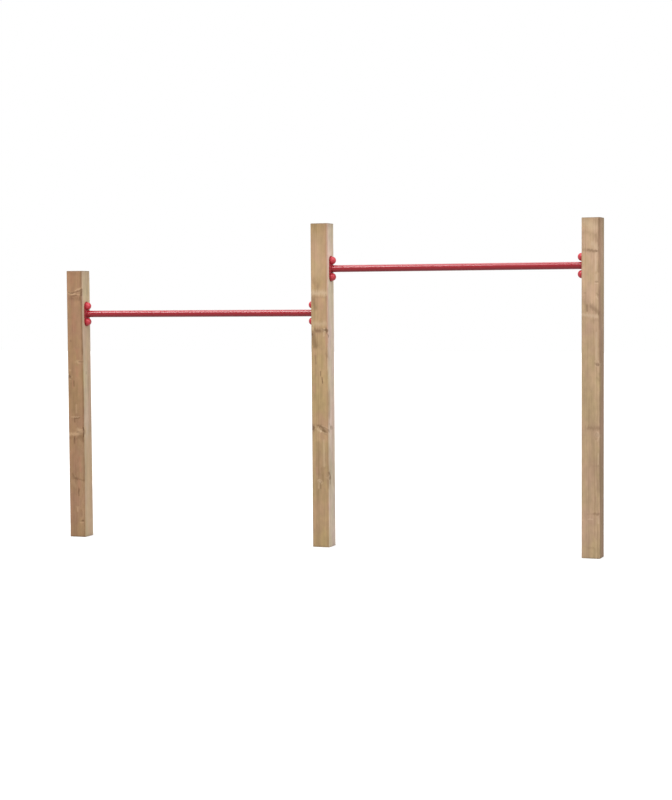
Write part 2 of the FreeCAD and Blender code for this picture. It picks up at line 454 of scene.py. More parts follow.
def clear_wood(wood, upward, stem, late, layers, heart, tones):
    """Colour of the wood between its knots, with a heart that reaches so far from the pith."""
    edge = stem + layers.cloud * HEART_WAVER - HEART_WAVER / 2
    sap = wood.ramp(edge, heart - 3, heart + 2)
    early_tone = wood.mix(sap, tones["heart_early"], tones["sap_early"])
    late_tone = wood.mix(sap, tones["heart_late"], tones["sap_late"])
    colour = wood.mix(late * 0.5, early_tone, late_tone)
    colour = wood.mix(wood.ramp(layers.streak, 0.5, 0.66) * 0.4, colour, tones["streak"])
    colour = wood.mix(wood.ramp(layers.fibre, 0.3, 0.75) * 0.3, colour, late_tone)
    rind = wood.ramp(edge, heart - 14, heart - 4) * (1 - sap)
    colour = wood.mix(rind * tones["rind_share"], colour, tones["rind"])
    # painted light: paler towards the top and darker towards the foot, as the light falls; the clouds and
    # figure are the wood's own tone
    shade = wood.ramp(upward, 0.0, 1.0, 0.88, 1.06) * wood.ramp(layers.cloud, 0.28, 0.72, 0.88, 1.1)
    shade = shade * wood.ramp(layers.figure, 0.3, 0.7, 0.95, 1.05)
    tint = wood.mix(wood.ramp(layers.tint, 0.3, 0.7), ROSE_TINT, OCHRE_TINT)
    return wood.vector("MULTIPLY", wood.shade(colour, shade), tint)


print("heart and sapwood described")

# %% [markdown]
# Round the knots the wood is stained, torn or paler, and the preservative soaks in unevenly. Such
# marks could be painted on a texture. Here each is a soft stroke between two points on a face. Noise
# that is stretched along the grain pulls at the stroke, so its ends run out in fibres.

# %% Describe stains and torn grain
PULL = (1.8, 1.8, 2.8)  # how far noise pulls a stroke in x, y and z, in its half-widths
FADE = 1.35  # where a stroke has faded away, in its half-widths


def strokes(wood, place, pull, marks):
    """The strongest of some soft strokes: start, end, half-width and strength of each."""
    found = 0.0
    for start, end, radius, strength in marks:
        line = Vector(end) - Vector(start)
        pulled = wood.vector("MULTIPLY_ADD", pull, tuple(share * radius for share in PULL), place)
        offset = wood.vector("SUBTRACT", pulled, start)
        share = wood.dot(offset, tuple(line / max(line.length_squared, 1e-6)))
        share = wood.math("MINIMUM", wood.math("MAXIMUM", share, 0.0), 1.0)
        gap = wood.vector("DISTANCE", offset, wood.shade(tuple(line), share), output="Value")
        found = wood.math("MAXIMUM", wood.ramp(gap, 0.0, radius * FADE, strength, 0.0), found)
    return found


print("marks described")

# %% [markdown]
# Knots and marks lie over the clear wood. The order counts as it does with paint: halos and pale
# knots first, then the strokes from pink to dark, then the dark knots, their rims and the fine resin
# canals. Fibres or figure break up the knots and strokes, so that none of them has an even tone.

# %% Lay on knots and marks
BARK_BROWN = srgb(84, 56, 38)


def marked_wood(wood, place, colour, grown, late, layers, tones, marks):
    """The colour of clear wood with its knots and marks laid over it."""
    pull = wood.noise(place, (0.15, 0.15, 0.03), detail=5.0, rough=0.7, output="Color")
    pull = wood.vector("SUBTRACT", pull, (0.5, 0.5, 0.5))
    colour = wood.mix(grown.halos * layers.figure * 0.45, colour, tones["pale"])
    colour = wood.mix(grown.pales * (0.5 + 0.8 * layers.figure), colour, tones["pale"])
    for tone in ("pink", "pale", "dark"):
        share = strokes(wood, place, pull, marks[tone]) * (0.7 + 0.6 * layers.fibre)
        colour = wood.mix(share, colour, tones[tone])
    colour = wood.mix(grown.knots * (0.3 + 0.4 * late + 0.6 * layers.figure), colour, tones["dark"])
    colour = wood.mix(grown.rims * 0.6, colour, BARK_BROWN)
    canals = wood.ramp(layers.canals, 0.66, 0.76) * late
    return wood.mix(canals * 0.35, colour, tones["dark"])


print("knots and marks can be laid on")

# %% [markdown]
# The finish puts these together and darkens the ends, which drink more preservative and weather
# first. The relief is faint, so a Bump node is enough: planing leaves the late wood proud, and the saw
# leaves its marks on the ends.

# %% Mix the timber finish
END_BROWN = srgb(112, 88, 62)
TOP_STAIN, TOP_EDGE, FOOT_STAIN = 38, 6, 3  # how far the ends are darkened, in millimetres
SAW_STEP, SAW_SLANT = 1.5, 0.9  # from one saw mark to the next, and their slant
RELIEF = 0.35  # depth of the relief, in millimetres


def timber(name, centre, height, pith, heart, ring, taper, tones, branches, marks):
    """Treated softwood for one post, solid right through."""
    wood = Finish(name)
    place = wood.place(centre)
    high = wood.dot(place, (0, 0, 1))
    grown = growth(wood, sway(wood, place), pith, taper, branches)
    late = late_wood(wood, place, grown.time, ring)
    layers = grain(wood, place)
    colour = clear_wood(wood, high / height, grown.stem, late, layers, heart, tones)
    colour = marked_wood(wood, place, colour, grown, late, layers, tones, marks)
    ends = wood.ramp(high, height - TOP_STAIN, height) * 0.2
    ends = ends + wood.ramp(high, height - TOP_EDGE, height - 1) * 0.5
    ends = ends + wood.ramp(high, 0.5, FOOT_STAIN, 0.5, 0.0)
    colour = wood.mix(ends, colour, END_BROWN)
    saw = wood.math("SINE", wood.dot(place, (math.tau / SAW_STEP, SAW_SLANT, 0)))
    saw = saw * wood.ramp(abs(high - height / 2), height / 2 - 1.5, height / 2 - 0.5)
    wood.set(
        Base_Color=colour,
        Roughness=wood.ramp(layers.fibre, 0.2, 0.8, 0.62, 0.8) - late * 0.06,
        Specular_IOR_Level=0.28,
        Normal=wood.bump(late * 0.35 + layers.fibre * 0.5 + grown.rims * 0.4 + saw * 0.12, RELIEF),
    )
    return wood.material


print("timber recipe ready")

# %% [markdown]
# ## Posts
#
# A planed post is a box with its long edges, the arrises, rounded by the planing machine and its
# ends eased. The box gets its rounding from the bevel operator. Rings of cuts along its length then
# let noise press a few small dents into the arrises, because no post comes through its life unhurt.

# %% Shape a post
ARRIS, END_EASE = 5 * MM, 2 * MM
ARRIS_STEPS, EASE_STEPS, FACE_CUTS = 6, 2, 7
RING_STEP = 9 * MM  # between two rings of cuts
DENT = 3 * MM
DENTS_ACROSS, DENTS_ALONG = 9, 30  # waves of noise in a metre
WHOLE = 0.32  # noise below this leaves an arris whole
CORNER = 0.86  # where the arrises begin, as a share of the half-width


def rise(edge):
    """How far an edge goes up."""
    return abs(edge.verts[0].co.z - edge.verts[1].co.z)


def dent_arrises(shape, middle, half):
    """Presses a few shallow dents into the long edges."""
    for vert in shape.verts:
        out = Vector((vert.co.x - middle.x, vert.co.y - middle.y, 0.0))
        corner = max(0.0, min(abs(out.x), abs(out.y)) / half - CORNER) / (1 - CORNER)
        spot = Vector((vert.co.x * DENTS_ACROSS, out.y * DENTS_ACROSS, vert.co.z * DENTS_ALONG))
        wear = max(0.0, noise.noise(spot) - WHOLE)
        vert.co -= out.normalized() * wear * corner * DENT


def post_blank(node):
    """A box of the node's size with rounded long edges, eased ends and slight dents."""
    low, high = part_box(node)
    size, middle = high - low, (high + low) / 2
    shape = bmesh.new()
    bmesh.ops.create_cube(shape, size=1.0, matrix=Matrix.LocRotScale(middle, None, size))
    rounding = {"offset_type": "OFFSET", "profile": 0.5, "affect": "EDGES", "material": -1}
    upright = [edge for edge in shape.edges if rise(edge) > size.z / 2]
    bmesh.ops.bevel(shape, geom=upright, offset=ARRIS, segments=ARRIS_STEPS, **rounding)
    level = [edge for edge in shape.edges if rise(edge) < size.z / 2]
    bmesh.ops.bevel(shape, geom=level, offset=END_EASE, segments=EASE_STEPS, **rounding)
    across = [edge for edge in shape.edges if edge.calc_length() > size.x / 2 and rise(edge) < MM]
    bmesh.ops.subdivide_edges(shape, edges=across, cuts=FACE_CUTS, use_grid_fill=True)
    tall = [edge for edge in shape.edges if rise(edge) > size.z / 2]
    bmesh.ops.subdivide_edges(shape, edges=tall, cuts=int(size.z / RING_STEP), use_grid_fill=True)
    dent_arrises(shape, middle, size.x / 2)
    bmesh.ops.recalc_face_normals(shape, faces=shape.faces)
    return shape


print("post shape ready")

# %% [markdown]
# Timber opens in fine drying checks, and the planer tears a knot out where it meets an arris. Both
# are real hollows here, because a bump can't darken itself as a crack does. The cutter for each is a
# sphere stretched to a long thin blade. Noise bends it and roughens it all over.

# %% Shape a cutter
BLADE_SIDES, BLADE_RINGS = 10, 28
BEND, ROUGH_SHARE = 2.5 * MM, 0.35  # the share is one of the blade's least half-size
BEND_WAVES, ROUGH_WAVES = 60, 450  # waves of noise in a metre
ROUGH_SHIFTS = (0.0, 17.3, 41.9)  # x, y and z read the noise at unlike places


def blade(centre, turn, half_sizes):
    """One slim cutter, in metres, that wanders along its length."""
    shape = bmesh.new()
    stretched = Matrix.LocRotScale(centre, turn, half_sizes)
    bmesh.ops.create_uvsphere(
        shape, u_segments=BLADE_SIDES, v_segments=BLADE_RINGS, radius=1.0, matrix=stretched
    )
    longest = max(range(3), key=lambda axis: half_sizes[axis])
    # The centre picks a stretch of the noise that no other blade reads.
    for vert in shape.verts:
        along = (vert.co[longest] - centre[longest]) * BEND_WAVES + centre.z * 7
        vert.co[(longest + 1) % 3] += BEND * noise.noise(Vector((along, 0.3, centre.x)))
        vert.co[(longest + 2) % 3] += BEND * noise.noise(Vector((along, 5.7, centre.y)))
        rough = [noise.noise(vert.co * ROUGH_WAVES + Vector((0, 0, shift))) for shift in ROUGH_SHIFTS]
        vert.co += Vector(rough) * min(half_sizes) * ROUGH_SHARE
    return shape


def check_cutters(node, checks):
    low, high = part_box(node)
    middle, half = (low + high) / 2, (high.x - low.x) / 2
    shapes = []
    for face, side, z, reach, width, depth, lean in checks:
        if face == "top":
            centre = Vector((middle.x + side * MM, middle.y + z * MM, high.z))
            axis, sizes = "Z", (reach, width / 2, depth)
        elif face == "left":
            centre = Vector((low.x, middle.y + side * MM, z * MM))
            axis, sizes = "X", (depth, width / 2, reach)
        else:
            centre = Vector((middle.x + side * MM, middle.y + (half if face == "back" else -half), z * MM))
            axis, sizes = "Y", (width / 2, depth, reach)
        turn = Matrix.Rotation(math.radians(lean), 3, axis).to_quaternion()
        shapes.append(blade(centre, turn, Vector(sizes) * MM))
    return shapes


print("cutters ready")

# %% [markdown]
# The Boolean modifier does the cutting. Some blades cross, and a Boolean can lose the whole post when
# its cutter crosses itself, so every cutter gets a Boolean of its own. The result is read back as a
# plain mesh, and the cutters go. Should the cutting ever fail, the post stays whole.

# %% Cut with Booleans
SHARP = math.radians(32)  # edges that turn by more than this stay sharp


def smooth(mesh):
    """Smooth shading that keeps real edges sharp."""
    mesh.polygons.foreach_set("use_smooth", [True] * len(mesh.polygons))
    mesh.set_sharp_from_angle(angle=SHARP)


def cut(piece, shapes):
    """Cuts shapes out of a piece, one after another, and keeps the result as its mesh."""
    knives = []
    for shape in shapes:
        knife = bpy.data.objects.new("cutter", bpy.data.meshes.new("cutter"))
        shape.to_mesh(knife.data)
        shape.free()
        bpy.context.scene.collection.objects.link(knife)
        boolean = piece.modifiers.new("check", "BOOLEAN")
        boolean.operation, boolean.solver, boolean.object = "DIFFERENCE", "MANIFOLD", knife
        knives.append(knife)
    bpy.context.view_layer.update()
    result = bpy.data.meshes.new_from_object(piece.evaluated_get(bpy.context.evaluated_depsgraph_get()))
    piece.modifiers.clear()
    if len(result.polygons) > len(piece.data.polygons):
        piece.data = result
        smooth(result)
    for mesh in [knife.data for knife in knives]:
        bpy.data.meshes.remove(mesh)


print("cutting ready")

# %% [markdown]
# Each post is then its blank, its own piece of timber and its cuts. The new piece rides on the frame
# and stands for the CAD node of the post, which stays hidden under it for collisions. The node's own
# mesh could be changed instead, but its few large faces leave nothing to dent.


# %% Make a post
def new_piece(name, shape, material):
    """Turns a bmesh into an object that rides on the frame."""
    mesh = bpy.data.meshes.new(name)
    shape.to_mesh(mesh)
    shape.free()
    mesh.materials.append(material)
    smooth(mesh)
    piece = bpy.data.objects.new(name, mesh)
    bpy.context.scene.collection.objects.link(piece)
    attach(piece, "root")
    return piece


def make_post(node, checks, **recipe):
    """A post of its own timber in place of the CAD node."""
    low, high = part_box(node)
    centre = ((low.x + high.x) / 2, (low.y + high.y) / 2, 0.0)
    material = timber(f"{node}_timber", centre, (high.z - low.z) / MM, **recipe)
    piece = new_piece(f"{node}_wood", post_blank(node), material)
    cut(piece, check_cutters(node, checks))
    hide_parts(node)
    print(piece.name, len(piece.data.polygons), "faces")


print("posts can be made")

# %% [markdown]
# Marks are given in millimetres on one face of a post: across it from the post's axis and up from its
# foot. Two helpers turn such places into points of the solid timber. Unwrapping the posts and
# painting a picture would also do, but then no mark could be moved by changing a number.

# %% Place a mark on a face
post_low, post_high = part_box("left_post")
FACE = (post_high.x - post_low.x) / 2 / MM  # from a post's axis to its faces, in millimetres


def on_front(*marks):
    """Strokes on the front face: start (x, z), end (x, z), half-width and strength of each."""
    return [
        ((x, -FACE, z), (end_x, -FACE, end_z), radius, strength)
        for (x, z), (end_x, end_z), radius, strength in marks
    ]


def on_right(*marks):
    """Strokes on the right face: start (y, z), end (y, z), half-width and strength of each."""
    return [
        ((FACE, y, z), (FACE, end_y, end_z), radius, strength)
        for (y, z), (end_y, end_z), radius, strength in marks
    ]


print(f"marks can be placed on faces {FACE:.1f} mm from the axis")

# %% [markdown]
# The left post is the short one. Its pith lies just outside the front face, so the front is brown
# heartwood, and a branch that runs along it shows as a spike knot near the top. The right face is
# sapwood. The tones are the wood's own, without light or shade, and a branch is placed by the spot
# where it leaves the timber, because that is what can be measured on the real post.

# %% Choose the left post's timber
left_timber = dict(
    pith=(-14, -50),
    heart=59,
    ring=4.2,
    taper=0.001,
    tones=dict(
        heart_early=srgb(174, 138, 106),
        heart_late=srgb(140, 101, 72),
        sap_early=srgb(209, 189, 162),
        sap_late=srgb(181, 156, 125),
        streak=srgb(160, 132, 95),
        rind=srgb(124, 94, 63),
        rind_share=0.4,
        pink=srgb(172, 122, 96),
        pale=srgb(206, 172, 136),
        dark=srgb(102, 72, 48),
    ),
    branches=[
        (42, -44, 1264, 9, 22, 0.25, 0.4),
        (10, 44, 1290, 9, 20, 0.6, 0.0),
        (-44, -30, 1262, 8, 20, 0.5, 0.2),
        (44, -43, 902, 4, 3, 0.5, 0.35),
        (-44, -42, 826, 7, 5, 0.6, 0.2),
        (44, -39, 541, 12, 2, 0.35, 0.45),
        (12, 44, 545, 10, 12, 0.6, 0.0),
        (0, 44, 335, 8, 15, 0.6, 0.0),
    ],
)
print("left post with", len(left_timber["branches"]), "branches")

# %% [markdown]
# Dark stain runs along the front right arris and gathers under the spike knot and round the torn
# knot at two fifths of the height. Lower down it follows single bent fibres. One noise mask would
# stain the post all over, so every stain is a stroke of its own.

# %% Stain the left post
left_stains = on_front(
    ((43, 1362), (43, 1290), 5, 0.4),
    ((42, 1212), (42, 940), 5, 0.4),
    ((39, 1242), (41, 1270), 7, 0.75),
    ((5, 1257), (34, 1264), 4, 0.6),
    ((-18, 1252), (3, 1256), 4, 0.5),
    ((-22, 1237), (14, 1239), 4, 0.6),
    ((-22, 1224), (34, 1221), 15, 0.35),
    ((31, 1231), (32, 1219), 6, 0.5),
    ((-25, 1010), (-24, 1005), 5, 0.5),
    ((-32, 832), (-29, 818), 7, 0.5),
    ((-10, 802), (-9, 776), 5, 0.4),
    ((-9, 609), (-8, 592), 5, 0.6),
    ((-6, 611), (19, 613), 5, 0.5),
    ((40, 563), (43, 542), 5, 0.9),
    ((-40, 512), (36, 508), 12, 0.25),
    ((24, 526), (38, 496), 12, 0.4),
    ((-12, 516), (-11, 482), 7, 0.5),
    ((43, 542), (40, 516), 5, 0.9),
    ((40, 516), (38, 498), 5, 0.6),
    ((-24, 324), (-14, 305), 6, 0.4),
    ((-14, 305), (4, 298), 8, 0.55),
    ((4, 298), (38, 293), 7, 0.38),
    ((9, 250), (10, 214), 5, 0.5),
    ((22, 140), (23, 108), 7, 0.3),
    ((26, 86), (35, 84), 5, 0.65),
) + on_right(
    ((0, 1360), (0, 1290), 45, 0.2),
    ((-11, 848), (-11, 838), 5, 0.4),
)
print(len(left_stains), "stains")

# %% [markdown]
# Where fibres bend round a knot, the planer cuts across them and leaves them pale. The sapwood on the
# right face is paler in two stretches too, and the heart has a pink flush between its knots. Broad
# faint strokes do this better than lighter tones, which would bleach the whole post.

# %% Lighten the left post
left_lights = on_front(
    ((-36, 1252), (-24, 1250), 8, 0.4),
    ((-18, 1243), (5, 1251), 4, 0.7),
    ((4, 1262), (16, 1270), 4, 0.7),
    ((16, 1270), (37, 1275), 5, 0.7),
    ((18, 1244), (34, 1245), 4, 0.55),
    ((12, 902), (18, 896), 9, 0.5),
    ((-36, 860), (-28, 858), 6, 0.35),
    ((-36, 810), (-28, 812), 4, 0.4),
    ((2, 680), (2, 640), 6, 0.35),
    ((-26, 618), (16, 618), 4, 0.45),
    ((10, 552), (27, 548), 12, 0.55),
    ((-40, 529), (20, 531), 10, 0.5),
    ((-26, 288), (-10, 264), 13, 0.22),
    ((2, 152), (2, 132), 6, 0.4),
    ((-6, 156), (13, 155), 4, 0.3),
    ((14, 76), (33, 75), 5, 0.4),
) + on_right(
    ((-30, 566), (-28, 542), 9, 0.65),
    ((-32, 532), (-36, 500), 6, 0.7),
    ((0, 1130), (0, 930), 45, 0.35),
    ((0, 480), (0, 40), 50, 0.55),
)
left_flushes = on_front(
    ((-18, 1360), (-12, 1310), 20, 0.35),
    ((-4, 1135), (0, 1070), 18, 0.4),
    ((12, 965), (12, 915), 7, 0.45),
    ((8, 872), (8, 830), 9, 0.45),
    ((-16, 806), (-16, 770), 5, 0.45),
    ((18, 410), (20, 340), 10, 0.5),
    ((12, 292), (14, 250), 12, 0.45),
) + on_right(
    ((20, 900), (20, 100), 16, 0.3),
)
print(len(left_lights), "pale marks and", len(left_flushes), "pink ones")

# %% [markdown]
# At two fifths of its height the planer tore a knot out of the arris, which takes two short wide
# cuts. The rest are drying checks: short ones in front, long ones in the back, and two on top that
# run away from the pith as such checks do.

# %% Make the left post
make_post(
    "left_post",
    marks=dict(dark=left_stains, pale=left_lights, pink=left_flushes),
    checks=[
        ("front", 44, 548, 12, 9, 4.5, 3),
        ("front", 43, 526, 11, 7, 4.0, -4),
        ("front", 9.5, 232, 17, 1.5, 6, 2),
        ("front", -12, 499, 16, 1.5, 6, -1),
        ("front", -9, 790, 16, 1.0, 5, 0),
        ("back", 6, 470, 230, 2.4, 20, 0.4),
        ("back", -14, 1100, 90, 1.4, 10, -0.5),
        ("top", -6, -14, 18, 1.0, 12, 70),
        ("top", 12, 8, 20, 1.2, 14, 55),
    ],
    **left_timber,
)

# %% [markdown]
# The middle post carries both bars. It is yellower, with its pith inside the timber, and the sapwood
# takes up most of the right face. A whorl of knots crosses it a little above a third of its height, and
# the branches droop there, so the knot on the front is a slanting oval.

# %% Choose the middle post's timber
middle_timber = dict(
    pith=(-16, -30),
    heart=59.5,
    ring=4.6,
    taper=0.0005,
    tones=dict(
        heart_early=srgb(192, 162, 124),
        heart_late=srgb(156, 124, 86),
        sap_early=srgb(224, 206, 188),
        sap_late=srgb(198, 176, 152),
        streak=srgb(170, 144, 102),
        rind=srgb(166, 130, 104),
        rind_share=0.35,
        pink=srgb(190, 146, 122),
        pale=srgb(216, 190, 158),
        dark=srgb(106, 78, 52),
    ),
    branches=[
        (44, -44, 1060, 6, -8, 0.7, 0.0),
        (44, -36, 1034, 4, -8, 0.6, 0.2),
        (-44, -40, 1040, 8, -10, 0.5, 0.0),
        (-10, 44, 1062, 9, -15, 0.6, 0.0),
        (6, -44, 583, 9, -26, 0.3, 0.1),
        (-40, -44, 584, 9, -15, 0.5, 0.0),
        (44, -12, 584, 9, -12, 0.5, 0.35),
        (-8, 44, 575, 10, -15, 0.6, 0.0),
        (-7, -44, 322, 6, -20, 0.3, 0.4),
        (44, -32, 340, 9, -10, 0.6, 0.2),
        (0, 44, 330, 9, -12, 0.6, 0.0),
    ],
)
print("middle post with", len(middle_timber["branches"]), "branches")

# %% [markdown]
# The stains of the middle post gather below the low bar, round the whorl and at a fifth of the
# height. Round the whorl they are short and lie in the fibres that part there, so each bit of shadow
# under the slanting knot is a stroke.

# %% Stain the middle post
middle_stains = on_front(
    ((-10, 1575), (-10, 1510), 40, 0.16),
    ((-30, 1300), (-10, 1280), 18, 0.2),
    ((-36, 1215), (-22, 1170), 15, 0.4),
    ((-40, 1220), (34, 1221), 6, 0.15),
    ((-20, 1062), (0, 1060), 13, 0.6),
    ((-40, 1048), (-22, 985), 19, 0.55),
    ((17, 1068), (19, 1056), 5, 0.5),
    ((34, 1070), (37, 1050), 6, 0.7),
    ((34, 944), (40, 932), 9, 0.3),
    ((-22, 936), (-20, 900), 7, 0.35),
    ((3, 860), (4, 839), 4, 0.55),
    ((11, 831), (15, 803), 4, 0.55),
    ((-38, 594), (-34, 576), 13, 0.55),
    ((-10, 597), (2, 593), 8, 0.65),
    ((2, 592), (16, 584), 7, 0.5),
    ((15, 575), (26, 569), 8, 0.7),
    ((24, 560), (32, 556), 8, 0.25),
    ((6, 385), (10, 325), 10, 0.28),
    ((-2, 312), (0, 290), 6, 0.35),
    ((-14, 510), (-10, 360), 14, 0.3),
) + on_right(
    ((-42, 1040), (-38, 1028), 5, 0.6),
    ((0, 1570), (0, 1480), 45, 0.15),
    ((-30, 606), (-22, 590), 5, 0.5),
    ((0, 592), (10, 578), 6, 0.45),
    ((-42, 576), (-34, 566), 5, 0.5),
    ((-42, 368), (-20, 338), 7, 0.65),
    ((-30, 336), (-24, 312), 6, 0.5),
)
print(len(middle_stains), "stains")

# %% [markdown]
# A pale band crosses the front between the heights of the two bars, and a pink one runs down the front
# right arris from the top. Both belong to this one post, so they are marks and not part of the recipe
# that all the timber shares.

# %% Lighten the middle post
middle_lights = on_front(
    ((-10, 1510), (-8, 1340), 34, 0.2),
    ((-40, 1243), (34, 1243), 17, 0.6),
    ((-38, 1094), (30, 1094), 14, 0.35),
    ((24, 1066), (22, 1034), 5, 0.5),
    ((-36, 1074), (-34, 1064), 7, 0.4),
    ((1, 571), (3, 567), 6, 0.8),
    ((-14, 580), (-8, 572), 6, 0.45),
    ((-8, 328), (-4, 322), 7, 0.5),
    ((-9, 312), (-10, 290), 4, 0.45),
    ((18, 525), (19, 400), 7, 0.35),
) + on_right(
    ((-34, 596), (-28, 576), 6, 0.5),
    ((-36, 346), (-30, 326), 5, 0.6),
)
middle_flushes = on_front(
    ((42, 1578), (42, 1000), 6, 0.7),
    ((-22, 1480), (-14, 1415), 26, 0.35),
    ((4, 1212), (14, 1172), 18, 0.35),
    ((34, 1030), (36, 985), 8, 0.5),
    ((-30, 970), (-26, 940), 12, 0.35),
    ((-30, 790), (-30, 760), 9, 0.35),
    ((0, 645), (12, 608), 28, 0.35),
    ((0, 550), (20, 530), 22, 0.35),
    ((-20, 392), (-18, 366), 7, 0.45),
) + on_right(
    ((10, 700), (14, 300), 14, 0.3),
)
print(len(middle_lights), "pale marks and", len(middle_flushes), "pink ones")

# %% [markdown]
# Two short checks open on the front above the middle, and the small knot on the arris below the low
# bar is chipped. The long checks are in the back and the left face, where the post dried first.

# %% Make the middle post
make_post(
    "middle_post",
    marks=dict(dark=middle_stains, pale=middle_lights, pink=middle_flushes),
    checks=[
        ("front", 3, 850, 11, 1.1, 6, 3),
        ("front", 13, 817, 14, 1.3, 6, 6),
        ("front", 43.5, 1058, 8, 5, 3.5, 4),
        ("back", -8, 900, 260, 2.6, 20, -0.3),
        ("left", 6, 420, 110, 1.6, 12, 0.4),
        ("top", 4, -14, 18, 1.0, 12, 35),
        ("top", -10, 10, 16, 0.9, 10, 80),
    ],
    **middle_timber,
)

# %% [markdown]
# The right post has its pith outside the right face, so here the side is brown heart and the front
# is the paler sapwood. Its knots are small and lie near the front right arris. The rings there run
# level with the front face, so its figure is widest beside that arris.

# %% Choose the right post's timber
right_timber = dict(
    pith=(54, 8),
    heart=51,
    ring=4.8,
    taper=-0.003,
    tones=dict(
        heart_early=srgb(176, 148, 121),
        heart_late=srgb(141, 112, 87),
        sap_early=srgb(200, 171, 140),
        sap_late=srgb(166, 135, 103),
        streak=srgb(176, 148, 112),
        rind=srgb(128, 102, 76),
        rind_share=0.3,
        pink=srgb(204, 168, 142),
        pale=srgb(218, 192, 162),
        dark=srgb(116, 88, 62),
    ),
    branches=[
        (32, -44, 903, 7, 10, 0.45, 0.2),
        (44, 44, 912, 8, 10, 0.5, 0.2),
        (30, -44, 577, 8, 12, 0.2, 0.35),
        (24, -44, 1426, 5, 10, 0.4, 0.0),
        (20, 44, 1425, 9, 10, 0.6, 0.0),
        (10, 44, 590, 9, 12, 0.6, 0.0),
        (-44, 0, 1095, 8, 8, 0.5, 0.0),
    ],
)
print("right post with", len(right_timber["branches"]), "branches")

# %% [markdown]
# From each small knot the stain spreads across the front in a band. The bands are broad soft strokes,
# and darker short ones mark the knots in them. Two long strokes darken the right face: one along its
# back edge, and one over its lower two thirds, which is painted shade.

# %% Stain and shade the right post
right_stains_and_shade = on_front(
    ((38, 1575), (36, 1330), 7, 0.4),
    ((-30, 1512), (6, 1504), 12, 0.15),
    ((24, 1498), (32, 1470), 10, 0.35),
    ((-38, 1430), (-16, 1430), 9, 0.3),
    ((-14, 1430), (14, 1425), 9, 0.6),
    ((24, 1424), (34, 1424), 5, 0.5),
    ((22, 1284), (34, 1283), 4, 0.4),
    ((-28, 1232), (-24, 1232), 4, 0.35),
    ((28, 1232), (36, 1222), 5, 0.3),
    ((-38, 1200), (-10, 1160), 22, 0.24),
    ((-18, 1176), (-17, 1150), 7, 0.6),
    ((0, 1172), (36, 1140), 13, 0.5),
    ((4, 1106), (34, 1106), 11, 0.2),
    ((20, 906), (38, 900), 9, 0.4),
    ((30, 840), (40, 828), 10, 0.3),
    ((-26, 620), (-26, 572), 4, 0.35),
    ((-8, 609), (38, 605), 15, 0.48),
    ((20, 570), (24, 556), 6, 0.35),
    ((4, 434), (36, 432), 12, 0.24),
    ((16, 209), (40, 209), 9, 0.55),
    ((-14, 208), (14, 208), 7, 0.15),
    ((-8, 50), (12, 50), 9, 0.24),
    ((-10, 1100), (0, 420), 70, 0.16),
) + on_right(
    ((36, 1560), (40, 20), 16, 0.3),
    # painted shade: the right face darker over its lower two thirds, as less light reaches it there
    ((0, 1000), (0, 40), 60, 0.29),
)
print(len(right_stains_and_shade), "stains")

# %% [markdown]
# Thin pale lines follow the fibres beside the front right arris, and broader pale strokes lie between
# the bands. Pink shows in only two places on this post.

# %% Lighten the right post
right_lights = on_front(
    ((-28, 1560), (16, 1535), 22, 0.35),
    ((8, 1460), (30, 1440), 12, 0.4),
    ((24, 1415), (24, 1335), 6, 0.45),
    ((26, 1315), (26, 1290), 8, 0.4),
    ((20, 1276), (34, 1276), 3, 0.45),
    ((26, 1216), (32, 1206), 5, 0.4),
    ((-36, 1134), (30, 1122), 10, 0.55),
    ((26, 1050), (27, 925), 5, 0.45),
    ((18, 918), (36, 919), 3, 0.45),
    ((30, 592), (40, 572), 4, 0.5),
    ((40, 572), (32, 550), 4, 0.4),
    ((36, 490), (36, 440), 3, 0.45),
    ((-12, 184), (10, 184), 3, 0.35),
    ((36, 198), (35, 165), 4, 0.45),
)
right_flushes = on_front(
    ((-10, 1258), (8, 1222), 24, 0.4),
    ((-10, 1090), (20, 1078), 16, 0.35),
)
print(len(right_lights), "pale marks and", len(right_flushes), "pink ones")

# %% [markdown]
# The right post kept its arrises and has no check in front. It has opened in the back, on the left and
# on top instead, which shows once the frame is turned.

# %% Make the right post
make_post(
    "right_post",
    marks=dict(dark=right_stains_and_shade, pale=right_lights, pink=right_flushes),
    checks=[
        ("back", 10, 620, 240, 2.4, 20, 0.3),
        ("left", -8, 1176, 120, 2.0, 12, -0.5),
        ("top", 12, 4, 20, 1.2, 12, -5),
        ("top", 1, -20, 16, 1.1, 10, 28),
    ],
    **right_timber,
)

# %% [markdown]
# ## Red steel
#
# Tubes, flanges and welds are powder-coated together after welding: a thick, glossy red skin with the
# faint ripple called orange peel. A flat red would look like paper, so the colour drifts a little,
# and hands have rubbed it duller in fine scuffs that run along the bars.

# %% Mix the coat
COAT_DARK, COAT_LIGHT = srgb(150, 18, 32), srgb(164, 24, 38)
PEEL_DEPTH = 0.012  # millimetres

coat = Finish("red_powder_coat")
where = coat.place()
peel = coat.noise(where, (0.4, 0.4, 0.4), detail=1.0)
drift = coat.noise(where, (0.012, 0.03, 0.03), detail=3.0)
scuff = coat.noise(where, (0.03, 0.7, 0.7), detail=4.0, rough=0.6)
coat.set(
    Base_Color=coat.mix(drift, COAT_DARK, COAT_LIGHT),
    Roughness=coat.ramp(drift, 0.3, 0.7, 0.25, 0.28) + coat.ramp(scuff, 0.55, 0.7) * 0.03,
    Specular_IOR_Level=0.56,
    Normal=coat.bump(peel, PEEL_DEPTH),
)
print("coat mixed")

# %% [markdown]
# A bar is a length of steel tube. A cylinder with a Solidify modifier would do, but here the
# cross-section of the wall, four points, is spun round the bar's axis. That makes the bore and the cut
# ends in one go. Many steps keep the outline round and the long highlight even.

# %% Spin the tubes
BARS = ("low_bar", "high_bar")
WALL = 2.6 * MM
TUBE_STEPS = 128


